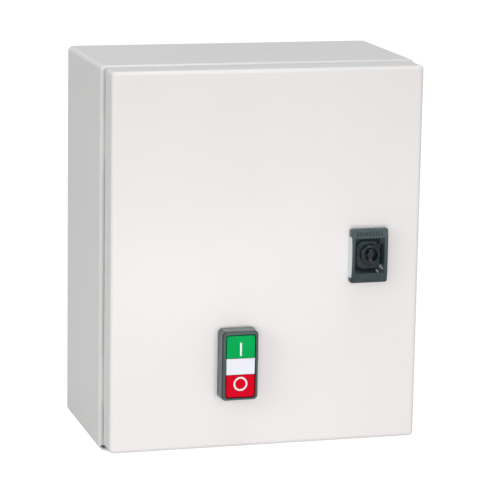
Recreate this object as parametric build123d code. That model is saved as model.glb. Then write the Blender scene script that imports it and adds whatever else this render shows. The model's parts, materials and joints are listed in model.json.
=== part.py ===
"""Enclosed motor starter: a painted sheet-steel wall enclosure with a motor protection breaker inside.

Frame: millimetres, +Z up, the door faces -Y, +X is on the right of a person facing the door.
The origin is the centre of the back face, which lies on the wall.
"Depth" means the distance from the wall, so depth d is the plane y = -d.
"""

import os

from build123d import *

# ---- Driving dimensions -------------------------------------------------------------------------
WIDTH = 250.0
HEIGHT = 300.0
DOOR_FRONT = 150.0
BODY_SHEET = 1.5
BODY_FRONT = 121.4
BODY_CORNER = 4.0
BACK_RADIUS = 3.0
FOLD_RADIUS = 3.0
LIP_FRONT = 128.0
LIP_CUT = (4.5, 5.5)
RELIEF = (118.0, 123.8)
RELIEF_HEIGHT = 2.2

DOOR_SHEET = 1.25
DOOR_HALF_WIDTH = 122.8
DOOR_TOP = 149.0
DOOR_BOTTOM = -145.6
DOOR_REAR = 128.5
DOOR_CORNER = 3.2
DOOR_EDGE = 3.0
DOOR_INNER = DOOR_FRONT - DOOR_SHEET

OPENING_HALF_WIDTH = 113.0
OPENING_HALF_HEIGHT = 137.0
OPENING_CORNER = 5.0
RIM_SHEET = 1.2
RIM_FRONT = 140.6
SEAL_REAR = 141.0
SEAL_WIDTH = 8.0

WALL_HOLE_X = 100.0
WALL_HOLE_Z = 125.0
WALL_HOLE_RADIUS = 4.25

PLATE_HALF_WIDTH = 100.0
PLATE_HALF_HEIGHT = 125.0
PLATE_NOTCH = 20.0
PLATE_REAR = 12.0
PLATE_FRONT = 14.0
STUD_X = 90.0
STUD_Z = 92.0

HINGE_X = -118.2
HINGE_DEPTH = 128.4
HINGE_Z = 95.0
HINGE_HALF = 18.0
KNUCKLE_RADIUS = 3.0
PIN_RADIUS = 2.0
PIN_CLEARANCE = 0.06

LOCK_X = 81.6
LOCK_Z = 3.4
LOCK_PLATE_X = 80.05
LOCK_PLATE_Z = 2.8
LOCK_WIDTH = 30.1
LOCK_HEIGHT = 42.4
LOCK_SEAT_FRONT = 151.6
LOCK_FRONT = 157.0
LOCK_WELL_X = 80.3
LOCK_WELL_FLOOR = 153.0
LOCK_SOCKET_FLOOR = 150.5
LOCK_CROWN = 260.0
LOCK_LIP_FRONT = 155.6
LOCK_LIP_SLOPE = 0.6
LOCK_SCOOP_HEIGHT = 32.0
LOCK_SCOOP_DEPTH = 1.45
LOCK_SCOOP_RADIUS = 256.0
LOCK_MOUTH = (23.8, 27.6, 4.6)
LOCK_FLOOR = (18.6, 21.5, 5.5)
LOCK_COLLAR = 7.9
LOCK_SOCKET = 5.9
LOCK_KEY_FRONT = 155.0
GROOVE_Z = 17.3
GROOVE_PITCH = 2.4
GROOVE_SIZE = (1.2, 3.4)
GROOVE_DEPTH = 0.9
LOCK_BORE = 5.06
LOCK_SHAFT = 5.0
CAM_DEPTHS = (114.4, 117.4)
CAM_REACH = 35.0

HEAD_X = -23.6
HEAD_Z = -78.0
HEAD_FRONT = 163.2
HEAD_STEP = 160.8
HEAD_FLOOR = 152.0
HEAD_FOOT = (30.0, 55.2, 3.6)
HEAD_SHOULDER = (28.8, 54.4, 3.4)
HEAD_RIM = (27.2, 53.0, 3.0)
NECK_RADIUS = 11.0
NECK_BORE = 9.6
NECK_END = 139.2
CAP_WIDTH = 22.6
CAP_GAP = 0.75
START_SPAN = (6.3, 24.1)
LENS_SPAN = (-6.6, 6.1)
STOP_SPAN = (-24.4, -6.8)
CAP_REAR = 158.0
CAP_FRONT = 163.0
CAP_ARM_REAR = 155.6
START_SYMBOL_Z = 13.4
STOP_SYMBOL_Z = -13.9
STEM_X = 7.3
STEM_RADIUS = 1.3
LENS_STEM = 2.8
BLOCK_REAR = 104.0

BREAKER_X = -28.0
BREAKER_Z = 74.0
DEVICE_WIDTH = 45.0
BREAKER_HEIGHT = 92.0
CONTACTOR_Z = -19.0
CONTACTOR_HEIGHT = 78.0
DEVICE_REAR = 14.6
RAIL_HEIGHT = 7.5
RAIL_FRONT = PLATE_FRONT + RAIL_HEIGHT
RAIL_HALF = 80.0
TERMINAL_Z = -103.0
TERMINAL_PITCH = 8.2

GLAND_HALF_WIDTH = 70.0
GLAND_DEPTHS = (24.0, 96.0)
GLAND_SCREW_RADIUS = 2.1
GROMMETS = ((-45.0, 6.5), (0.0, 6.5), (42.0, 4.5))
GROMMET_DEPTH = 60.0


# ---- Small builders -----------------------------------------------------------------------------
def slab(outline, depth_a, depth_b):
    """Solid of a front-view outline between two depths."""
    return extrude(Plane.XZ.offset(depth_a) * outline, amount=depth_b - depth_a)


def tile(x, z, width, height, radius, depth_a, depth_b):
    """Rounded rectangular plate seen from the front."""
    return slab(Pos(x, z) * RectangleRounded(width, height, radius), depth_a, depth_b)


def disc(x, z, radius, depth_a, depth_b):
    """Cylinder whose axis runs from the wall to the front."""
    return slab(Pos(x, z) * Circle(radius), depth_a, depth_b)


def block(x_span, depth_span, z_span):
    """Box between two values on each axis."""
    x_low, x_high = sorted(x_span)
    d_low, d_high = sorted(depth_span)
    z_low, z_high = sorted(z_span)
    centre = Pos((x_low + x_high) / 2, -(d_low + d_high) / 2, (z_low + z_high) / 2)
    return centre * Box(x_high - x_low, d_high - d_low, z_high - z_low)


def post(x, depth, radius, z_low, z_high):
    """Upright cylinder."""
    return Pos(x, -depth, (z_low + z_high) / 2) * Cylinder(radius, z_high - z_low)


def front_edges(solid):
    return solid.faces().sort_by(Axis.Y)[0].edges()


def back_edges(solid):
    return solid.faces().sort_by(Axis.Y)[-1].edges()


def hexagon(x, z, across_flats, depth_a, depth_b):
    return slab(Pos(x, z) * RegularPolygon(across_flats / 2, 6, major_radius=False), depth_a, depth_b)


def slotted_screw(x, z, head_radius, depth_a, depth_b):
    """Cross-slotted screw head."""
    head = disc(x, z, head_radius, depth_a, depth_b)
    head = chamfer(front_edges(head), 0.3)
    slot = 0.45
    reach = head_radius * 0.75
    sink = depth_b - 0.8
    head -= block((x - reach, x + reach), (sink, depth_b), (z - slot, z + slot))
    head -= block((x - slot, x + slot), (sink, depth_b), (z - reach, z + reach))
    return head


def coil_spring(x, z, radius, wire, depth_a, depth_b, turns):
    """Compression spring along the depth, with its ends just inside the two seats."""
    length = depth_b - depth_a - 2 * wire
    path = Helix(pitch=length / turns, height=length, radius=radius)
    start = Plane(origin=path @ 0, z_dir=path % 0)
    coil = sweep(start * Circle(wire), path=path)
    return Pos(x, -depth_a - wire, z) * Rot(90, 0, 0) * coil


def group(solids):
    return Compound(children=list(solids))


PIECES = {}


def piece(name, shape):
    PIECES[name] = shape


# ---- Enclosure body -----------------------------------------------------------------------------
def enclosure_body():
    """Folded sheet shell: back, four walls, and a front flange that leaves the opening."""
    bottom = -HEIGHT / 2
    shell = tile(0, 0, WIDTH, HEIGHT, BODY_CORNER, 0, BODY_FRONT)
    shell = fillet(back_edges(shell), BACK_RADIUS)
    shell = fillet(front_edges(shell), FOLD_RADIUS)
    inner_width = WIDTH - 2 * BODY_SHEET
    inner_height = HEIGHT - 2 * BODY_SHEET
    inner_corner = BODY_CORNER - BODY_SHEET
    cavity = tile(0, 0, inner_width, inner_height, inner_corner, BODY_SHEET, BODY_FRONT - BODY_SHEET)
    cavity = fillet(back_edges(cavity), BACK_RADIUS - BODY_SHEET)
    cavity = fillet(front_edges(cavity), FOLD_RADIUS - BODY_SHEET)
    shell -= cavity
    shell += bottom_lip()
    shell -= opening(0, BODY_FRONT - BODY_SHEET - 1, BODY_FRONT + 1)
    for side in (-1, 1):
        shell -= block(
            (side * RELIEF[0], side * RELIEF[1]),
            (BODY_FRONT - BODY_SHEET - 1, BODY_FRONT + 1),
            (bottom + BODY_SHEET, bottom + BODY_SHEET + RELIEF_HEIGHT),
        )
        for end in (-1, 1):
            shell -= disc(side * WALL_HOLE_X, end * WALL_HOLE_Z, WALL_HOLE_RADIUS, -1, BODY_SHEET + 1)
    shell -= block(
        (-GLAND_HALF_WIDTH, GLAND_HALF_WIDTH), GLAND_DEPTHS, (bottom - 1, bottom + BODY_SHEET + 1)
    )
    for x, depth in gland_screw_places():
        shell -= post(x, depth, GLAND_SCREW_RADIUS, bottom - 1, bottom + BODY_SHEET + 1)
    return shell


def bottom_lip():
    """Drip lip: the bottom sheet runs on under the door, with its corners cut off."""
    half = WIDTH / 2 - BODY_CORNER + 1.5
    rear = BODY_FRONT - FOLD_RADIUS - 2
    cut_x, cut_depth = LIP_CUT
    corner = half - cut_x
    shoulder = LIP_FRONT - cut_depth
    outline = Polyline(
        (-half, -rear), (-half, -shoulder), (-corner, -LIP_FRONT), (corner, -LIP_FRONT),
        (half, -shoulder), (half, -rear), close=True,
    )
    lip = extrude(Plane.XY.offset(-HEIGHT / 2) * make_face(outline), amount=BODY_SHEET)
    return fillet(lip.edges().filter_by(Axis.Z).group_by(Axis.Y)[0], 2.0)


def opening(inset, depth_a, depth_b):
    """Door opening of the body, made smaller by the inset on each side."""
    width = 2 * (OPENING_HALF_WIDTH - inset)
    height = 2 * (OPENING_HALF_HEIGHT - inset)
    return tile(0, 0, width, height, OPENING_CORNER - inset, depth_a, depth_b)


def gutter_rim():
    """Upright rim welded into the opening; the door's seal closes on it."""
    rear = BODY_FRONT - BODY_SHEET
    return opening(0, rear, RIM_FRONT) - opening(RIM_SHEET, rear - 1, RIM_FRONT + 1)


def plate_stud_places():
    return [(x, z) for x in (-STUD_X, STUD_X) for z in (-STUD_Z, STUD_Z)]


def gland_screw_places():
    low, high = GLAND_DEPTHS
    return [(x, d) for x in (-GLAND_HALF_WIDTH + 6, 0, GLAND_HALF_WIDTH - 6) for d in (low - 6, high + 6)]


def mounting_plate():
    plate = tile(0, 0, 2 * PLATE_HALF_WIDTH, 2 * PLATE_HALF_HEIGHT, 1.5, PLATE_REAR, PLATE_FRONT)
    for side in (-1, 1):
        for end in (-1, 1):
            plate -= block(
                (side * (PLATE_HALF_WIDTH - PLATE_NOTCH), side * (PLATE_HALF_WIDTH + 1)),
                (PLATE_REAR - 1, PLATE_FRONT + 1),
                (end * (PLATE_HALF_HEIGHT - PLATE_NOTCH), end * (PLATE_HALF_HEIGHT + 1)),
            )
    for x, z in plate_stud_places():
        plate -= disc(x, z, 3.3, PLATE_REAR - 1, PLATE_FRONT + 1)
    return plate


def plate_stud(x, z):
    stud = disc(x, z, 6.0, BODY_SHEET, PLATE_REAR)
    return stud + disc(x, z, 3.0, PLATE_REAR, 22.0)


def plate_nut(x, z):
    nut = hexagon(x, z, 10.0, PLATE_FRONT, PLATE_FRONT + 5)
    nut = chamfer(front_edges(nut), 0.5)
    return nut - disc(x, z, 3.0, PLATE_FRONT - 1, PLATE_FRONT + 6)


def gland_parts():
    """Gasket, plate, screws and grommets that close the cable opening in the bottom."""
    floor = -HEIGHT / 2 + BODY_SHEET
    low, high = GLAND_DEPTHS
    reach_x = (-GLAND_HALF_WIDTH - 4, GLAND_HALF_WIDTH + 4)
    reach_d = (low - 12, high + 12)
    gasket = block(reach_x, reach_d, (floor, floor + 2))
    gasket -= block((reach_x[0] + 9, reach_x[1] - 9), (low + 2, high - 2), (floor - 1, floor + 3))
    plate = block(reach_x, reach_d, (floor + 2, floor + 3.5))
    plate = fillet(plate.edges().filter_by(Axis.Z), 3)
    screws = []
    for x, depth in gland_screw_places():
        shank = post(x, depth, GLAND_SCREW_RADIUS, floor - BODY_SHEET + 0.3, floor + 3.5)
        gasket -= post(x, depth, GLAND_SCREW_RADIUS, floor - 1, floor + 3)
        plate -= post(x, depth, GLAND_SCREW_RADIUS, floor, floor + 5)
        screws.append(shank + post(x, depth, 3.8, floor + 3.5, floor + 6))
    grommets = []
    for x, bore in GROMMETS:
        wall = 2.6
        plate -= post(x, GROMMET_DEPTH, bore + wall, floor, floor + 5)
        body = post(x, GROMMET_DEPTH, bore + wall, floor, floor + 7)
        body += post(x, GROMMET_DEPTH, bore + wall + 2, floor, floor + 2)
        body += post(x, GROMMET_DEPTH, bore + wall + 2, floor + 3.5, floor + 5.5)
        body -= post(x, GROMMET_DEPTH, bore, floor - 1, floor + 8)
        grommets.append(body)
    piece("gland_gasket", gasket)
    piece("gland_plate", plate)
    piece("gland_screws", group(screws))
    piece("cable_grommets", group(grommets))


def earth_stud(depth_a, x, z, depth_b):
    """Earthing stud with a wide foot, from its welded foot to its free end."""
    step = 2.0 if depth_b > depth_a else -2.0
    foot = disc(x, z, 5.0, min(depth_a, depth_a + step), max(depth_a, depth_a + step))
    shank = disc(x, z, 3.0, min(depth_a, depth_b), max(depth_a, depth_b))
    return foot + shank


# ---- Hinges ---------------------------------------------------------------------------------------
def knuckle(z_low, z_high, bore):
    barrel = post(HINGE_X, HINGE_DEPTH, KNUCKLE_RADIUS, z_low, z_high)
    return barrel, post(HINGE_X, HINGE_DEPTH, bore, z_low - 1, z_high + 1)


def body_hinge(z):
    """Leaf welded to the body's front flange, with the two outer knuckles."""
    arm_x = (HINGE_X + 2.2, -OPENING_HALF_WIDTH - 0.1)
    leaf = block(arm_x, (BODY_FRONT, BODY_FRONT + 2), (z - HINGE_HALF, z + HINGE_HALF))
    for span in ((z - HINGE_HALF, z - 9), (z + 9, z + HINGE_HALF)):
        barrel, bore = knuckle(*span, PIN_RADIUS)
        leaf += block(arm_x, (BODY_FRONT, HINGE_DEPTH + 1.5), span) + barrel - bore
    return leaf


def door_hinge(z):
    """Leaf welded inside the door, with the middle knuckle."""
    span = (z - 8.7, z + 8.7)
    barrel, bore = knuckle(*span, PIN_RADIUS + PIN_CLEARANCE)
    side = -DOOR_HALF_WIDTH + DOOR_SHEET
    arm = block((side, HINGE_X + 1.2), (HINGE_DEPTH, DOOR_INNER), span)
    corner = front_edges(arm).filter_by(Axis.Z).sort_by(Axis.X)[0]
    return chamfer(corner, DOOR_EDGE - DOOR_SHEET + 0.05) + barrel - bore


def hinge_pin(z):
    return post(HINGE_X, HINGE_DEPTH, PIN_RADIUS, z - HINGE_HALF, z + HINGE_HALF)


# ---- Door -----------------------------------------------------------------------------------------
def door_shell(inset, depth_a, depth_b):
    """Solid door block with rounded front edges, made smaller by the inset on each side."""
    middle = (DOOR_TOP + DOOR_BOTTOM) / 2
    width = 2 * (DOOR_HALF_WIDTH - inset)
    height = DOOR_TOP - DOOR_BOTTOM - 2 * inset
    shell = tile(0, middle, width, height, DOOR_CORNER - inset, depth_a, depth_b)
    return fillet(front_edges(shell), DOOR_EDGE - inset)


def door_panel():
    """Folded door sheet; it sits lower than the body's top and clear of the drip lip below."""
    panel = door_shell(0, DOOR_REAR, DOOR_FRONT)
    panel -= door_shell(DOOR_SHEET, DOOR_REAR - 1, DOOR_INNER)
    panel -= disc(HEAD_X, HEAD_Z, NECK_RADIUS, DOOR_INNER - 1, DOOR_FRONT + 1)
    panel -= disc(LOCK_X, LOCK_Z, NECK_RADIUS, DOOR_INNER - 1, DOOR_FRONT + 1)
    return panel


def door_gasket():
    mid_width = OPENING_HALF_WIDTH - RIM_SHEET / 2
    mid_height = OPENING_HALF_HEIGHT - RIM_SHEET / 2
    outer = tile(0, 0, 2 * mid_width + SEAL_WIDTH, 2 * mid_height + SEAL_WIDTH, 9, SEAL_REAR, DOOR_INNER)
    inner = tile(
        0, 0, 2 * mid_width - SEAL_WIDTH, 2 * mid_height - SEAL_WIDTH, 3, SEAL_REAR - 1, DOOR_INNER + 1
    )
    return outer - inner


# ---- Lock -----------------------------------------------------------------------------------------
def lock_outline(scoop):
    """Front view of the lock plate; its left side can be scooped out to make room for the lip of the seat."""
    outline = Pos(LOCK_PLATE_X, LOCK_PLATE_Z) * RectangleRounded(LOCK_WIDTH, LOCK_HEIGHT, 1.8)
    if scoop:
        left = LOCK_PLATE_X - LOCK_WIDTH / 2
        middle = LOCK_PLATE_Z - 1.0
        bow = Pos(left - LOCK_SCOOP_RADIUS + LOCK_SCOOP_DEPTH, middle) * Circle(LOCK_SCOOP_RADIUS)
        outline -= bow & (Pos(left, middle) * Rectangle(8, LOCK_SCOOP_HEIGHT))
    return outline


def lock_housing():
    """Black plate with a crowned and grooved front, a tapered well, a socket collar and a threaded neck."""
    plate = slab(lock_outline(True), LOCK_SEAT_FRONT, LOCK_FRONT)
    crown = Rot(0, 90, 0) * Cylinder(LOCK_CROWN, 2 * LOCK_WIDTH)
    plate &= Pos(LOCK_PLATE_X, LOCK_CROWN - LOCK_FRONT, LOCK_PLATE_Z) * crown
    plate = fillet(front_edges(plate), 0.5)
    centre = Pos(LOCK_WELL_X, LOCK_PLATE_Z)
    mouth = Plane.XZ.offset(LOCK_FRONT + 0.01) * centre * RectangleRounded(*LOCK_MOUTH)
    floor = Plane.XZ.offset(LOCK_WELL_FLOOR) * centre * RectangleRounded(*LOCK_FLOOR)
    plate -= loft([floor, mouth])
    mouth_edges = plate.faces().sort_by(Axis.Y)[0].inner_wires()[0].edges()
    plate = chamfer(mouth_edges, 0.25)
    collar = disc(LOCK_X, LOCK_Z, LOCK_COLLAR, LOCK_WELL_FLOOR - 0.5, LOCK_FRONT - 0.9)
    plate += fillet(front_edges(collar), 1.3)
    plate += disc(LOCK_X, LOCK_Z, NECK_RADIUS, 136.0, LOCK_SEAT_FRONT)
    plate -= disc(LOCK_X, LOCK_Z, LOCK_SOCKET, LOCK_SOCKET_FLOOR, LOCK_FRONT + 1)
    plate -= disc(LOCK_X, LOCK_Z, LOCK_BORE, 135.0, LOCK_SOCKET_FLOOR + 1)
    groove_floor = LOCK_FRONT - GROOVE_Z**2 / (2 * LOCK_CROWN) - GROOVE_DEPTH
    for step in range(-4, 5):
        x = LOCK_PLATE_X + step * GROOVE_PITCH
        plate -= tile(x, LOCK_PLATE_Z + GROOVE_Z, *GROOVE_SIZE, 0.4, groove_floor, LOCK_FRONT + 1)
    pointer = Rot(0, 35, 0) * Box(1.5, 2.0, 4.6)
    return plate + Pos(LOCK_X + 7.6, -LOCK_WELL_FLOOR - 1.2, LOCK_Z + 8.6) * pointer


def lock_rotor():
    """Double-bit insert: a pin with two wings in the socket, and a shaft to the cam."""
    rotor = disc(LOCK_X, LOCK_Z, LOCK_SHAFT, CAM_DEPTHS[1], LOCK_SOCKET_FLOOR)
    rotor += disc(LOCK_X, LOCK_Z, 2.4, LOCK_SOCKET_FLOOR, LOCK_KEY_FRONT)
    depths = (LOCK_SOCKET_FLOOR, LOCK_KEY_FRONT)
    return rotor + block((LOCK_X - 1.3, LOCK_X + 1.3), depths, (LOCK_Z - 4.4, LOCK_Z + 4.4))


def lock_cam():
    cam = block((LOCK_X - 8, LOCK_X + 8), CAM_DEPTHS, (LOCK_Z - CAM_REACH, LOCK_Z + 9))
    cam = fillet(cam.edges().filter_by(Axis.Y), 5)
    return cam - disc(LOCK_X, LOCK_Z, 2.5, CAM_DEPTHS[0] - 1, CAM_DEPTHS[1] + 1)


def lock_lip():
    """Lip of the seat that fills the scoop of the housing; its outer side leans inwards."""
    lip = slab(lock_outline(False) - lock_outline(True), LOCK_SEAT_FRONT, LOCK_LIP_FRONT)
    left = LOCK_PLATE_X - LOCK_WIDTH / 2
    slope = Polyline(
        (left, -LOCK_SEAT_FRONT), (left + LOCK_LIP_SLOPE, -LOCK_LIP_FRONT),
        (left - 1, -LOCK_LIP_FRONT), (left - 1, -LOCK_SEAT_FRONT), close=True,
    )
    low = LOCK_PLATE_Z - LOCK_HEIGHT / 2
    return lip - extrude(Plane.XY.offset(low) * make_face(slope), amount=LOCK_HEIGHT)


def lock_parts():
    seat = slab(lock_outline(False), DOOR_FRONT, LOCK_SEAT_FRONT)
    seat += lock_lip()
    piece("lock_seat", seat - disc(LOCK_X, LOCK_Z, NECK_RADIUS, DOOR_FRONT - 1, LOCK_SEAT_FRONT + 1))
    piece("lock_housing", lock_housing())
    nut = hexagon(LOCK_X, LOCK_Z, 27, 142.5, DOOR_INNER)
    nut = chamfer(back_edges(nut), 0.8)
    piece("lock_nut", nut - disc(LOCK_X, LOCK_Z, NECK_RADIUS, 141, DOOR_FRONT))
    piece("lock_rotor", lock_rotor())
    piece("lock_cam", lock_cam())
    head = disc(LOCK_X, LOCK_Z, 5, CAM_DEPTHS[0] - 2.8, CAM_DEPTHS[0])
    piece("cam_screw", head + disc(LOCK_X, LOCK_Z, 2.5, *CAM_DEPTHS))


# ---- Double push button with pilot light ------------------------------------------------------------
def head_outline(depth, width, height, radius):
    return Plane.XZ.offset(depth) * Pos(HEAD_X, HEAD_Z) * RectangleRounded(width, height, radius)


def button_bezel():
    """Tapered frame with a stepped rim, a recess for the caps and a threaded neck."""
    frame = loft([head_outline(DOOR_FRONT, *HEAD_FOOT), head_outline(HEAD_STEP, *HEAD_SHOULDER)])
    rim = tile(HEAD_X, HEAD_Z, *HEAD_RIM, HEAD_STEP - 1, HEAD_FRONT)
    bezel = frame + fillet(front_edges(rim), 0.6)
    recess_height = START_SPAN[1] - STOP_SPAN[0] + 2 * CAP_GAP
    recess_mid = HEAD_Z + (START_SPAN[1] + STOP_SPAN[0]) / 2
    recess_width = CAP_WIDTH + 2 * CAP_GAP
    bezel -= tile(HEAD_X, recess_mid, recess_width, recess_height, 2.6, HEAD_FLOOR, HEAD_FRONT + 1)
    bezel += disc(HEAD_X, HEAD_Z, NECK_RADIUS, NECK_END, DOOR_FRONT)
    bezel -= disc(HEAD_X, HEAD_Z, NECK_BORE, NECK_END + 1.6, HEAD_FLOOR + 1)
    for side in (-1, 1):
        bezel -= disc(HEAD_X + side * STEM_X, HEAD_Z, 1.4, NECK_END - 1, NECK_END + 3)
    bezel -= disc(HEAD_X, HEAD_Z, LENS_STEM + 0.1, NECK_END - 1, NECK_END + 3)
    return bezel


def button_cap(span, side, outer_end):
    """Cap with its arm and its stem; side is -1 for the left stem and +1 for the right one."""
    low, high = span
    height = high - low
    mid = HEAD_Z + (low + high) / 2
    half = CAP_WIDTH / 2
    cap = block((HEAD_X - half, HEAD_X + half), (CAP_REAR, CAP_FRONT), (mid - height / 2, mid + height / 2))
    corners = cap.edges().filter_by(Axis.Y).sort_by(Axis.Z)
    cap = fillet(corners[-2:] if outer_end > 0 else corners[:2], 2.1)
    cap = fillet(front_edges(cap), 0.6)
    stem_x = HEAD_X + side * STEM_X
    cap += block((stem_x - 2.2, stem_x + 2.2), (CAP_ARM_REAR, CAP_REAR), (HEAD_Z - outer_end * 1.6, mid))
    cap += disc(stem_x, HEAD_Z, STEM_RADIUS, NECK_END, CAP_ARM_REAR)
    cap += disc(stem_x, HEAD_Z, 2.1, 150.6, 151.6)
    return cap


def pilot_lens():
    low, high = LENS_SPAN
    lens = block(
        (HEAD_X - CAP_WIDTH / 2, HEAD_X + CAP_WIDTH / 2),
        (160.4, CAP_FRONT),
        (HEAD_Z + low + 0.05, HEAD_Z + high - 0.05),
    )
    lens = fillet(front_edges(lens), 0.3)
    return lens + disc(HEAD_X, HEAD_Z, LENS_STEM, NECK_END, 160.4)


def contact_block(x, hole_x):
    """Screw-terminal block behind the head; hole_x is where its plunger goes in."""
    body = block((x - 4.8, x + 4.8), (BLOCK_REAR, NECK_END - 0.1), (HEAD_Z - 21, HEAD_Z + 21))
    body = fillet(body.edges().filter_by(Axis.X), 1.2)
    for end in (-1, 1):
        body -= block(
            (x - 3.4, x + 3.4), (BLOCK_REAR - 1, BLOCK_REAR + 7), (HEAD_Z + end * 17, HEAD_Z + end * 22)
        )
        body += slotted_terminal(x, HEAD_Z + end * 18.6)
    if hole_x is not None:
        body -= disc(hole_x, HEAD_Z, 1.45, BLOCK_REAR + 4, NECK_END + 1)
    return body


def slotted_terminal(x, z):
    return disc(x, z, 2.0, BLOCK_REAR + 5, BLOCK_REAR + 7.2)


def push_button_parts():
    piece("button_bezel", button_bezel())
    symbol_rear = CAP_FRONT - 0.3
    ring_z = HEAD_Z + STOP_SYMBOL_Z
    bar = tile(HEAD_X, HEAD_Z + START_SYMBOL_Z, 1.4, 10.6, 0.5, symbol_rear, CAP_FRONT)
    ring = disc(HEAD_X, ring_z, 5.5, symbol_rear, CAP_FRONT) - disc(HEAD_X, ring_z, 4.2, 160, 165)
    piece("start_button", button_cap(START_SPAN, -1, 1) - bar)
    piece("start_symbol", bar)
    piece("stop_button", button_cap(STOP_SPAN, 1, -1) - ring)
    piece("stop_symbol", ring)
    piece("pilot_lens", pilot_lens())
    collar = tile(HEAD_X, HEAD_Z, 29, 40, 3, NECK_END, DOOR_INNER)
    piece("fixing_collar", collar - disc(HEAD_X, HEAD_Z, NECK_RADIUS, NECK_END - 1, DOOR_FRONT))
    for name, side in (("start", -1), ("stop", 1)):
        stem_x = HEAD_X + side * STEM_X
        piece(name + "_contact_block", contact_block(HEAD_X + side * 9.9, stem_x))
        piece(name + "_plunger", disc(stem_x, HEAD_Z, STEM_RADIUS, 114.0, NECK_END))
        piece(name + "_spring", coil_spring(stem_x, HEAD_Z, 1.75, 0.2, NECK_END + 1.6, 150.6, 6))
    piece("lamp_block", contact_block(HEAD_X, None))


# ---- Rails, breaker, link and contactor ---------------------------------------------------------------
def din_rail(z):
    """Top-hat rail 35 by 7.5 mm, lying along X on the mounting plate."""
    flange, web, sheet = 17.5, 13.0, 1.0
    rail = block((-RAIL_HALF, RAIL_HALF), (PLATE_FRONT, PLATE_FRONT + sheet), (z - web, z + web))
    for end in (-1, 1):
        rail += block(
            (-RAIL_HALF, RAIL_HALF),
            (PLATE_FRONT, RAIL_FRONT),
            (z + end * (web - sheet), z + end * web),
        )
        rail += block(
            (-RAIL_HALF, RAIL_HALF),
            (RAIL_FRONT - sheet, RAIL_FRONT),
            (z + end * (web - sheet), z + end * flange),
        )
    return rail


def rail_bed(z):
    """Space that a device leaves free for its rail."""
    return block((-RAIL_HALF, RAIL_HALF), (DEVICE_REAR - 1, RAIL_FRONT + 0.1), (z - 17.7, z + 17.7))


def upper_hook(x, z, width):
    """Nose behind the rail's upper flange."""
    return block((x - width / 2, x + width / 2), (DEVICE_REAR, RAIL_FRONT - 1.1), (z + 14.5, z + 17.8))


def case(x, z, width, height, depth_a, depth_b, edge):
    """Moulded case block with rounded front edges."""
    body = block((x - width / 2, x + width / 2), (depth_a, depth_b), (z - height / 2, z + height / 2))
    return fillet(front_edges(body), edge)


def terminal_places(x, z, height):
    return [(x + dx, z + end * (height / 2 - 8)) for end in (-1, 1) for dx in (-14.5, 0, 14.5)]


def wire_mouths(x, z, height, depth_a, depth_b):
    """Rectangular cable entries in the top and bottom of a device."""
    mouths = []
    for end in (-1, 1):
        for dx in (-14.5, 0, 14.5):
            edge = z + end * height / 2
            mouths.append(block((x + dx - 4, x + dx + 4), (depth_a, depth_b), (edge - end * 6, edge + end)))
    return mouths


def breaker_parts():
    x, z, height = BREAKER_X, BREAKER_Z, BREAKER_HEIGHT
    half = DEVICE_WIDTH / 2
    base = block((x - half, x + half), (DEVICE_REAR, 52.0), (z - height / 2, z + height / 2))
    base -= rail_bed(z)
    base += upper_hook(x, z, 38)
    for mouth in wire_mouths(x, z, height, 34.0, 43.0):
        base -= mouth
    base -= block((x - 9.3, x + 9.3), (DEVICE_REAR - 1, 20.2), (z - height / 2 - 1, z - 17))
    piece("breaker_base", base)

    cover = case(x, z, DEVICE_WIDTH, height, 52.0, 66.0, 1.2)
    cover += case(x, z, DEVICE_WIDTH, 60.0, 66.0, 82.0, 2.0)
    for screw_x, screw_z in terminal_places(x, z, height):
        cover -= disc(screw_x, screw_z, 4.4, 54.0, 67.0)
    knob_x, knob_z = x - 7.5, z + 11.0
    cover -= disc(knob_x, knob_z, 6.06, 70.0, 83.0)
    dial_x, dial_z = x + 10.0, z - 15.0
    cover -= disc(dial_x, dial_z, 4.56, 76.0, 83.0)
    test_x, test_z = x - 10.0, z - 17.0
    cover -= block((test_x - 2.8, test_x + 2.8), (72.0, 83.0), (test_z - 2.8, test_z + 2.8))
    piece("breaker_cover", cover)

    knob = disc(knob_x, knob_z, 13.0, 82.4, 86.0)
    knob = fillet(front_edges(knob), 0.8)
    knob += tile(knob_x, knob_z, 7.0, 24.0, 2.5, 85.0, 94.0)
    knob += disc(knob_x, knob_z, 6.0, 71.0, 82.4)
    piece("breaker_knob", knob)

    dial = disc(dial_x, dial_z, 4.5, 76.5, 82.6)
    dial -= block((dial_x - 3, dial_x + 3), (81.6, 83), (dial_z - 0.5, dial_z + 0.5))
    piece("current_dial", dial)

    button = block((test_x - 2.5, test_x + 2.5), (75.0, 83.6), (test_z - 2.5, test_z + 2.5))
    piece("test_button", fillet(front_edges(button), 0.4))

    clip_low = z - height / 2 - 3.5
    clip = block((x - 9, x + 9), (DEVICE_REAR + 0.4, 19.9), (clip_low, z - 18.2))
    clip += block((x - 9, x + 9), (DEVICE_REAR + 0.4, 19.9), (z - 18.2, z - 14.6))
    clip -= block((x - 4, x + 4), (DEVICE_REAR, 21), (clip_low + 1.5, clip_low + 4.5))
    piece("breaker_rail_clip", clip)

    screws = [slotted_screw(sx, sz, 4.0, 54.0, 60.0) for sx, sz in terminal_places(x, z, height)]
    piece("breaker_terminal_screws", group(screws))


def link_module():
    """Rigid three-pole link between the breaker's outgoing and the contactor's incoming terminals."""
    top = BREAKER_Z - BREAKER_HEIGHT / 2
    bottom = CONTACTOR_Z + CONTACTOR_HEIGHT / 2
    link = block((BREAKER_X - 21, BREAKER_X + 21), (30.0, 56.0), (bottom + 0.3, top - 0.3))
    for dx in (-14.5, 0, 14.5):
        link += block((BREAKER_X + dx - 2, BREAKER_X + dx + 2), (37.0, 39.0), (bottom - 5, top + 5))
    return link


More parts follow.
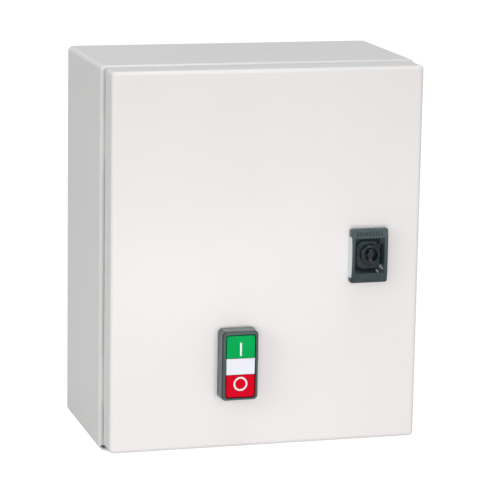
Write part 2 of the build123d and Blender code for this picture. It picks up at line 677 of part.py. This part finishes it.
def contactor_parts():
    x, z, height = BREAKER_X, CONTACTOR_Z, CONTACTOR_HEIGHT
    half = height / 2
    base = block((x - DEVICE_WIDTH / 2, x + DEVICE_WIDTH / 2), (DEVICE_REAR, 60.0), (z - half, z + half))
    base -= rail_bed(z)
    base += upper_hook(x, z, 38)
    for mouth in wire_mouths(x, z, height, 34.0, 43.0):
        base -= mouth
    base -= block((x - 20, x + 20), (24.0, 61.0), (z - 25, z + 25))
    piece("contactor_base", base)

    cover = case(x, z, DEVICE_WIDTH, height, 60.0, 70.0, 1.2)
    cover += case(x, z, DEVICE_WIDTH, 50.0, 70.0, 88.0, 2.0)
    cover -= block((x - 17, x + 17), (59.0, 84.0), (z - 18, z + 18))
    cover -= block((x - 7.0, x + 7.0), (83.0, 89.0), (z - 7.0, z + 7.0))
    for screw_x, screw_z in terminal_places(x, z, height):
        cover -= disc(screw_x, screw_z, 4.4, 62.0, 71.0)
    for dx in (-12.5, 12.5):
        cover -= block((x + dx - 3, x + dx + 3), (86.5, 89.0), (z - 18, z + 18))
    piece("contactor_cover", cover)

    core = block((x - 14, x + 14), (24.0, 28.0), (z - 22, z + 22))
    for centre in (-19.0, 0.0, 19.0):
        core += block((x - 7, x + 7), (28.0, 44.0), (z + centre - 3, z + centre + 3))
    piece("magnet_core", core)

    coil = tile(x, z, 30, 28, 4, 28.4, 43.0)
    piece("contactor_coil", coil - block((x - 7.3, x + 7.3), (27, 45), (z - 3.3, z + 3.3)))

    armature = block((x - 14, x + 14), (48.0, 53.0), (z - 22, z + 22))
    armature += block((x - 15, x + 15), (53.0, 74.0), (z - 14, z + 14))
    armature += block((x - 6.6, x + 6.6), (74.0, 87.6), (z - 6.6, z + 6.6))
    piece("contactor_armature", armature)
    piece("armature_spring", coil_spring(x, z, 10.5, 0.6, 43.0, 48.0, 2))

    screws = [slotted_screw(sx, sz, 4.0, 62.0, 68.0) for sx, sz in terminal_places(x, z, height)]
    piece("contactor_terminal_screws", group(screws))


# ---- Terminal row ---------------------------------------------------------------------------------------
def terminal_block(x):
    width = TERMINAL_PITCH - 0.1
    z = TERMINAL_Z
    body = block((x - width / 2, x + width / 2), (DEVICE_REAR, 50.0), (z - 23, z + 23))
    body += block((x - width / 2, x + width / 2), (50.0, 60.0), (z - 12, z + 12))
    body -= rail_bed(z)
    body += upper_hook(x, z, width)
    for end in (-1, 1):
        body -= disc(x, z + end * 17, 2.8, 40.0, 51.0)
        body += disc(x, z + end * 17, 2.5, 40.0, 44.0)
        edge = z + end * 23
        body -= block((x - 2.6, x + 2.6), (30.0, 37.0), (edge - end * 7, edge + end))
    return body


def end_clamp(x):
    z = TERMINAL_Z
    body = block((x - 4, x + 4), (DEVICE_REAR, 44.0), (z - 21, z + 21))
    body -= rail_bed(z)
    body += upper_hook(x, z, 8)
    body -= disc(x, z, 2.8, 38.0, 45.0)
    return body + disc(x, z, 2.6, 38.0, 42.0)


# ---- Assembly --------------------------------------------------------------------------------------------
def build_all():
    piece("enclosure_body", enclosure_body())
    piece("gutter_rim", gutter_rim())
    piece("mounting_plate", mounting_plate())
    piece("plate_studs", group(plate_stud(x, z) for x, z in plate_stud_places()))
    piece("plate_nuts", group(plate_nut(x, z) for x, z in plate_stud_places()))
    gland_parts()
    piece("body_earth_stud", earth_stud(BODY_SHEET, 60.0, -134.0, 24.0))

    piece("body_hinge_leaves", group(body_hinge(z) for z in (-HINGE_Z, HINGE_Z)))
    piece("hinge_pins", group(hinge_pin(z) for z in (-HINGE_Z, HINGE_Z)))
    piece("door_hinge_leaves", group(door_hinge(z) for z in (-HINGE_Z, HINGE_Z)))

    piece("door_panel", door_panel())
    piece("door_gasket", door_gasket())
    piece("door_earth_stud", earth_stud(DOOR_INNER, 60.0, -120.0, 132.0))
    lock_parts()
    push_button_parts()

    for name, z in (("upper", BREAKER_Z), ("middle", CONTACTOR_Z), ("lower", TERMINAL_Z)):
        piece(name + "_rail", din_rail(z))
    heads = []
    for z in (BREAKER_Z, CONTACTOR_Z, TERMINAL_Z):
        for x in (-70.0, 70.0):
            heads.append(slotted_screw(x, z, 4.0, PLATE_FRONT + 1.0, PLATE_FRONT + 4.0))
    piece("rail_screws", group(heads))
    breaker_parts()
    piece("link_module", link_module())
    contactor_parts()

    row_start = BREAKER_X - 1.5 * TERMINAL_PITCH
    for index in range(3):
        piece(f"terminal_block_{index + 1}", terminal_block(row_start + index * TERMINAL_PITCH))
    piece("earth_terminal", terminal_block(row_start + 3 * TERMINAL_PITCH))
    clamp_offset = 1.5 * TERMINAL_PITCH + TERMINAL_PITCH / 2 + 4.1
    piece("end_clamps", group(end_clamp(BREAKER_X + side * clamp_offset) for side in (-1, 1)))


os.makedirs("parts", exist_ok=True)
build_all()
for name, shape in PIECES.items():
    export_step(shape, f"parts/{name}.step")
print(len(PIECES), "pieces")
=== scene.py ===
"""Looks of the enclosed motor starter: camera, materials, springs, stage and light."""
import json
import math
from functools import partial

import bpy
from mathutils import Matrix, Vector


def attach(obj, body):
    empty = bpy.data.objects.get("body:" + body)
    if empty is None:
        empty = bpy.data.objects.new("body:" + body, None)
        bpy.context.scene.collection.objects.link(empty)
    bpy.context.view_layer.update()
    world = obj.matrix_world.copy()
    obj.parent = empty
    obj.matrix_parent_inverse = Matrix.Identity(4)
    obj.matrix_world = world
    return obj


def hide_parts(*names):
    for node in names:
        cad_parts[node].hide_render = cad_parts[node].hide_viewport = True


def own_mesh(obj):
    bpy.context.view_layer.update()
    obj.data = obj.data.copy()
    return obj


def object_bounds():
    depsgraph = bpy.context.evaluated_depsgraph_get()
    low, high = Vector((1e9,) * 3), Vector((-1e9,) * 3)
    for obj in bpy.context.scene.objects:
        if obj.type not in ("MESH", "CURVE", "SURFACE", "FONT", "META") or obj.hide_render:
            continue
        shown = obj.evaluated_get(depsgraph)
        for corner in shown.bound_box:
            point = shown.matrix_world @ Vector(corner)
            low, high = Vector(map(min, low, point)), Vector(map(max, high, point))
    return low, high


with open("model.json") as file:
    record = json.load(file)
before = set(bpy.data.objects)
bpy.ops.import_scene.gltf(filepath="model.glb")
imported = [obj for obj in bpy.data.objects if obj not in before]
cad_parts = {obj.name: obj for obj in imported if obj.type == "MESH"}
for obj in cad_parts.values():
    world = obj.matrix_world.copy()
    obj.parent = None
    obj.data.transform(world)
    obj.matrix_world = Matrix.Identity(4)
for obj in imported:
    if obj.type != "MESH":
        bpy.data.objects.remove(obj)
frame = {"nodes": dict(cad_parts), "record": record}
cad_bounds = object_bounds()
NODES = frame["nodes"]

# ---- Camera: metres, degrees and millimetres of film, in the part's own frame ----------------------
CAMERA_PLACE = Vector((-0.5458, -1.9940, 0.4100))
CAMERA_YAW = 16.085
CAMERA_PITCH = 11.776
CAMERA_ROLL = 1.008
CAMERA_NEAR = 0.05
CAMERA_FAR = 50
SENSOR = 36.0
FOCAL_LENGTH = 184.73


def make_camera():
    yaw, pitch, roll = (math.radians(v) for v in (CAMERA_YAW, CAMERA_PITCH, CAMERA_ROLL))
    level = math.cos(pitch)
    ahead = Vector((math.sin(yaw) * level, math.cos(yaw) * level, -math.sin(pitch)))
    level_right = Vector((math.cos(yaw), -math.sin(yaw), 0))
    level_up = level_right.cross(ahead)
    right = level_right * math.cos(roll) + level_up * math.sin(roll)
    up = -level_right * math.sin(roll) + level_up * math.cos(roll)
    data = bpy.data.cameras.new("camera")
    data.sensor_width = SENSOR
    data.lens = FOCAL_LENGTH
    data.clip_start = CAMERA_NEAR
    data.clip_end = CAMERA_FAR
    camera = bpy.data.objects.new("camera", data)
    bpy.context.scene.collection.objects.link(camera)
    turn = Matrix((right, up, -ahead)).transposed().to_4x4()
    camera.matrix_world = Matrix.Translation(CAMERA_PLACE) @ turn
    bpy.context.scene.camera = camera


# ---- Materials -------------------------------------------------------------------------------------
NOISE_LOW = 0.3  # nearly all of a noise texture lies between these two
NOISE_HIGH = 0.7


class Shader:
    """A Principled material whose colour, roughness and bump come from procedural noise."""

    def __init__(self, name):
        self.material = bpy.data.materials.new(name)
        self.material.use_nodes = True
        self.tree = self.material.node_tree
        self.principled = self.tree.nodes["Principled BSDF"]
        self.place = self.tree.nodes.new("ShaderNodeTexCoord").outputs["Object"]

    def node(self, kind, **settings):
        made = self.tree.nodes.new("ShaderNode" + kind)
        for key, value in settings.items():
            setattr(made, key, value)
        return made

    def feed(self, value, socket):
        """Puts a number on a socket, or links another node's output to it."""
        if isinstance(value, (int, float)):
            socket.default_value = value
        else:
            self.tree.links.new(value, socket)

    def set(self, **sockets):
        for key, value in sockets.items():
            self.principled.inputs[key.replace("_", " ")].default_value = value
        return self

    def noise(self, scale, detail, stretch=None):
        """Noise from 0 to 1; scale is in features per metre."""
        texture = self.node("TexNoise")
        texture.inputs["Scale"].default_value = scale
        texture.inputs["Detail"].default_value = detail
        source = self.place
        if stretch:
            mapping = self.node("Mapping")
            mapping.inputs["Scale"].default_value = stretch
            self.feed(source, mapping.inputs["Vector"])
            source = mapping.outputs["Vector"]
        self.feed(source, texture.inputs["Vector"])
        return texture.outputs["Fac"]

    def arithmetic(self, operation, *values):
        node = self.node("Math", operation=operation)
        for value, socket in zip(values, node.inputs):
            self.feed(value, socket)
        return node.outputs["Value"]

    def ranged(self, value, start, end, low=0.0, high=1.0, **settings):
        """Goes from low to high as a value goes from start to end."""
        node = self.node("MapRange", **settings)
        sockets = ("Value", "From Min", "From Max", "To Min", "To Max")
        for name, given in zip(sockets, (value, start, end, low, high)):
            self.feed(given, node.inputs[name])
        return node.outputs["Result"]

    def ramp(self, value, dark, light, start=0.0, end=1.0):
        """Goes from the dark to the light colour as a value goes from start to end."""
        node = self.node("ValToRGB")
        first, last = node.color_ramp.elements
        first.position, last.position = start, end
        first.color, last.color = (*dark, 1), (*light, 1)
        self.feed(value, node.inputs["Fac"])
        return node.outputs["Color"]

    def mix(self, share, first, second):
        node = self.node("MixRGB")
        for name, given in zip(("Fac", "Color1", "Color2"), (share, first, second)):
            self.feed(given, node.inputs[name])
        return node.outputs["Color"]

    def colour(self, value, dark, light):
        tone = self.ramp(value, dark, light, NOISE_LOW, NOISE_HIGH)
        self.feed(tone, self.principled.inputs["Base Color"])

    def roughness(self, value, low, high):
        rough = self.ranged(value, NOISE_LOW, NOISE_HIGH, low, high)
        self.feed(rough, self.principled.inputs["Roughness"])

    def bump(self, *layers):
        """Each layer is (noise value, strength, height in metres); they are stacked."""
        below = None
        for value, strength, height in layers:
            bump = self.node("Bump")
            bump.inputs["Strength"].default_value = strength
            bump.inputs["Distance"].default_value = height
            self.feed(value, bump.inputs["Height"])
            if below:
                self.feed(below, bump.inputs["Normal"])
            below = bump.outputs["Normal"]
        self.feed(below, self.principled.inputs["Normal"])


def toned(colour, factor):
    return tuple(min(1.0, c * factor) for c in colour)


def powder_coat(name, colour):
    """Polyester powder paint: fine orange peel and a very slight cloudiness."""
    s = Shader(name)
    s.colour(s.noise(9, 3), toned(colour, 0.985), toned(colour, 1.01))
    s.roughness(s.noise(50, 2), 0.2, 0.215)
    s.bump((s.noise(150, 1), 0.008, 0.0003), (s.noise(700, 2), 0.008, 0.0001))
    return s.set(IOR=1.48).material


def moulded(name, colour, low=0.38, high=0.5, strength=0.18):
    """Moulded plastic with a fine spark-eroded grain."""
    s = Shader(name)
    s.colour(s.noise(60, 4), toned(colour, 0.93), toned(colour, 1.05))
    s.roughness(s.noise(300, 3), low, high)
    s.bump((s.noise(2600, 2), strength, 0.00006))
    return s.material


def polished(name, colour, gloss=0.5):
    """Polished plastic with the soft waviness of a thick moulding."""
    s = Shader(name)
    s.colour(s.noise(40, 3), toned(colour, 0.92), toned(colour, 1.06))
    s.roughness(s.noise(500, 3), 0.2, 0.28)
    s.bump((s.noise(95, 1), 0.12, 0.0008), (s.noise(1500, 2), 0.05, 0.0001))
    return s.set(Specular_IOR_Level=gloss).material


# The lock plate: the middle and half size of the well's mouth, the width over which the finish changes
# there, and how far above and below its middle the painted light runs, paler at the top and darker below
MOUTH_X = 0.0803
MOUTH_Z = 0.0028
MOUTH_HALF_WIDTH = 0.0119
MOUTH_HALF_HEIGHT = 0.0138
MOUTH_BLEND = 0.0004
PAINTED_LIGHT_REACH = 0.018
PAINTED_LIGHT_SHARE = 0.6  # the share of the tone that is painted light, from height; the rest of the tone comes from noise
WELL_TONES = (0.008, 0.015, 0.018), (0.018, 0.03, 0.034)
FACE_TONES = (0.018, 0.028, 0.03), (0.064, 0.094, 0.1)
WELL_ROUGHNESS = 0.12
FACE_ROUGHNESS = 0.42


def lock_plastic(name):
    """Black nylon: the face is finely textured, the well is polished; both carry painted light, paler at
    the top and darker below.
    """
    s = Shader(name)
    split = s.node("SeparateXYZ")
    s.feed(s.place, split.inputs["Vector"])
    beyond = []
    for axis, middle, half in (("X", MOUTH_X, MOUTH_HALF_WIDTH), ("Z", MOUTH_Z, MOUTH_HALF_HEIGHT)):
        offset = s.arithmetic("SUBTRACT", split.outputs[axis], middle)
        beyond.append(s.arithmetic("SUBTRACT", s.arithmetic("ABSOLUTE", offset), half))
    outside = s.arithmetic("MAXIMUM", *beyond)
    face = s.ranged(outside, 0, MOUTH_BLEND, interpolation_type="SMOOTHSTEP")
    # painted light: the plate is paler towards its top and darker towards its bottom, as the light falls
    height = s.ranged(split.outputs["Z"], MOUTH_Z - PAINTED_LIGHT_REACH, MOUTH_Z + PAINTED_LIGHT_REACH)
    tone = s.mix(PAINTED_LIGHT_SHARE, s.noise(240, 3), height)
    colour = s.mix(face, s.ramp(tone, *WELL_TONES), s.ramp(tone, *FACE_TONES))
    s.feed(colour, s.principled.inputs["Base Color"])
    rough = s.ranged(face, 0, 1, WELL_ROUGHNESS, FACE_ROUGHNESS)
    s.feed(rough, s.principled.inputs["Roughness"])
    s.bump((s.noise(170, 1), 0.5, 0.0009), (s.noise(1900, 2), 0.08, 0.0001))
    return s.material


def zinc(name, colour=(0.62, 0.63, 0.65), stretch=(1, 1, 8)):
    """Plated or bare metal with faint rolling streaks and a warm to cool tint."""
    s = Shader(name)
    bright = (colour[0] * 1.06, colour[1] * 1.04, colour[2] * 0.98)
    s.colour(s.noise(45, 4), toned(colour, 0.88), bright)
    s.roughness(s.noise(220, 4, stretch), 0.26, 0.44)
    s.bump((s.noise(700, 3, stretch), 0.1, 0.0001))
    return s.set(Metallic=1.0).material


def rubber(name, colour):
    """Matt black rubber, slightly mottled."""
    s = Shader(name)
    s.colour(s.noise(120, 4), toned(colour, 0.8), toned(colour, 1.2))
    s.roughness(s.noise(500, 3), 0.72, 0.9)
    s.bump((s.noise(1800, 4), 0.3, 0.00015))
    return s.material


def milky_lens(name, colour):
    """Milky plastic that lets light a little way in."""
    s = Shader(name)
    s.colour(s.noise(80, 2), toned(colour, 0.98), colour)
    s.roughness(s.noise(600, 2), 0.16, 0.24)
    s.bump((s.noise(900, 1), 0.05, 0.0001))
    return s.set(Subsurface_Weight=0.25, Subsurface_Scale=0.002).material


PAINT = (0.79, 0.766, 0.73)
MATERIALS = {
    "enclosure_paint": partial(powder_coat, colour=PAINT),
    "gland_paint": partial(powder_coat, colour=PAINT),
    "zinc_steel": zinc,
    "core_steel": partial(zinc, colour=(0.3, 0.3, 0.31), stretch=(1, 10, 1)),
    "earth_brass": partial(zinc, colour=(0.78, 0.6, 0.3)),
    "seal_rubber": partial(rubber, colour=(0.03, 0.03, 0.03)),
    "lock_grey": partial(moulded, colour=(0.63, 0.675, 0.66), strength=0.05),
    "lock_black": lock_plastic,
    "bezel_grey": partial(moulded, colour=(0.062, 0.09, 0.087), low=0.2, high=0.26, strength=0.03),
    "start_green": partial(polished, colour=(0.0, 0.365, 0.08), gloss=0.08),
    "stop_red": partial(polished, colour=(0.64, 0.0, 0.013), gloss=0.08),
    "symbol_white": partial(polished, colour=(0.86, 0.86, 0.86)),
    "lens_white": partial(milky_lens, colour=(0.77, 0.785, 0.815)),
    "block_green": partial(moulded, colour=(0.03, 0.25, 0.12)),
    "block_red": partial(moulded, colour=(0.42, 0.03, 0.03)),
    "block_white": partial(moulded, colour=(0.72, 0.72, 0.70)),
    "device_dark": partial(moulded, colour=(0.045, 0.05, 0.055)),
    "device_light": partial(moulded, colour=(0.40, 0.41, 0.41)),
    "dial_white": partial(moulded, colour=(0.78, 0.78, 0.75)),
    "test_red": partial(moulded, colour=(0.62, 0.02, 0.015)),
    "armature_blue": partial(moulded, colour=(0.04, 0.10, 0.28)),
    "coil_tape": partial(moulded, colour=(0.35, 0.18, 0.06)),
    "terminal_grey": partial(moulded, colour=(0.36, 0.36, 0.34)),
    "earth_green_yellow": partial(moulded, colour=(0.25, 0.45, 0.05)),
}


def dress_nodes():
    """Gives every CAD node its slot's material."""
    made = {slot: build(slot) for slot, build in MATERIALS.items()}
    for part in frame["record"]["subparts"]:
        materials = NODES[part["node"]].data.materials
        materials.clear()
        materials.append(made[part["material_slot"]])


# ---- Springs: node, joint, body, depth of the fixed end, depth of the free end, travel; metres -----
SPRINGS = (
    ("start_spring", "start_press", "door", 0.1408, 0.1506, 0.003),
    ("stop_spring", "stop_press", "door", 0.1408, 0.1506, 0.003),
    ("armature_spring", "armature_pull", "enclosure", 0.043, 0.048, 0.0036),
)


def make_springs():
    """Copies of the CAD springs at their rest length, each moving with its body; they do not shorten."""
    for node, joint, body, fixed_end, free_end, travel in SPRINGS:
        spring = bpy.data.objects.new(node + "_coil", NODES[node].data.copy())
        bpy.context.scene.collection.objects.link(spring)
        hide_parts(node)
        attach(spring, body)
        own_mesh(spring)


# ---- Stage -----------------------------------------------------------------------------------------
FLOOR_REACH = 12.0
FLOOR_GAP = 0.0005  # keeps the floor clear of the enclosure's bottom sheet
FLOOR_TONES = (0.34, 0.34, 0.34), (0.36, 0.36, 0.36)
FLOOR_ROUGHNESS = 0.9
FLOOR_GLOW = 0.22
SKY_COLOUR = (0.98, 0.99, 1.0, 1)
SKY_LIGHT = 0.45
CAMERA_WHITE = 1.05


def camera_white(tree, dim):
    """Shows plain white to rays that come straight from the camera, and the dim shader to others."""
    pick = tree.nodes.new("ShaderNodeMixShader")
    white = tree.nodes.new("ShaderNodeEmission")
    white.inputs["Strength"].default_value = CAMERA_WHITE
    path = tree.nodes.new("ShaderNodeLightPath")
    tree.links.new(path.outputs["Is Camera Ray"], pick.inputs["Fac"])
    tree.links.new(dim, pick.inputs[1])
    tree.links.new(white.outputs["Emission"], pick.inputs[2])
    return pick.outputs["Shader"]


def make_stage():
    level = cad_bounds[0].z - FLOOR_GAP
    corners = ((-1, -1), (1, -1), (1, 1), (-1, 1))
    mesh = bpy.data.meshes.new("floor")
    mesh.from_pydata([(x * FLOOR_REACH, y * FLOOR_REACH, level) for x, y in corners], [], [(0, 1, 2, 3)])
    floor = bpy.data.objects.new("floor", mesh)
    bpy.context.scene.collection.objects.link(floor)
    s = Shader("floor")
    s.colour(s.noise(3, 2), *FLOOR_TONES)
    s.set(Roughness=FLOOR_ROUGHNESS, Emission_Color=(1, 1, 1, 1), Emission_Strength=FLOOR_GLOW)
    shown = camera_white(s.tree, s.principled.outputs["BSDF"])
    s.feed(shown, s.tree.nodes["Material Output"].inputs["Surface"])
    mesh.materials.append(s.material)


def make_world():
    """White for the camera, a dimmer neutral sky for everything else."""
    world = bpy.data.worlds.new("world")
    bpy.context.scene.world = world
    world.use_nodes = True
    tree = world.node_tree
    tree.nodes.clear()
    out = tree.nodes.new("ShaderNodeOutputWorld")
    sky = tree.nodes.new("ShaderNodeBackground")
    sky.inputs["Color"].default_value = SKY_COLOUR
    sky.inputs["Strength"].default_value = SKY_LIGHT
    tree.links.new(camera_white(tree, sky.outputs["Background"]), out.inputs["Surface"])


# ---- Lights: name, place, target, width and height, power in watts, colour, seen in gloss ----------
FRONT = (0, -0.15, 0)
COOL = (0.885, 0.935, 1.0)
LIGHTS = (
    ("key", (0.3, -2.4, 0.3), FRONT, (1.0, 0.6), 0.85, (1.0, 0.975, 0.93), True),
    ("low", (-0.03, -0.69, -0.118), (0.01, -0.15, -0.12), (0.5, 0.06), 1.36, (0.975, 0.925, 1.0), False),
    ("left", (-2.4, -1.2, 0.95), FRONT, (1.4, 1.2), 24, COOL, True),
    ("overhead", (0.0, -0.35, 2.0), FRONT, (1.0, 0.6), 16.8, COOL, True),
    ("edge", (0.45, -1.9, 0.6), FRONT, (0.22, 0.22), 3.1, (1.0, 0.98, 0.935), True),
)


def make_lights():
    for name, place, target, size, power, colour, glossy in LIGHTS:
        data = bpy.data.lights.new(name, "AREA")
        data.shape = "RECTANGLE"
        data.size, data.size_y = size
        data.energy = power
        data.color = colour
        lamp = bpy.data.objects.new(name, data)
        bpy.context.scene.collection.objects.link(lamp)
        lamp.location = place
        lamp.rotation_mode = "QUATERNION"
        lamp.rotation_quaternion = (Vector(target) - Vector(place)).to_track_quat("-Z", "Y")
        lamp.visible_camera = False
        lamp.visible_glossy = glossy


bpy.context.scene.view_settings.view_transform = "Standard"
make_camera()
make_world()
make_stage()
make_lights()
dress_nodes()
make_springs()
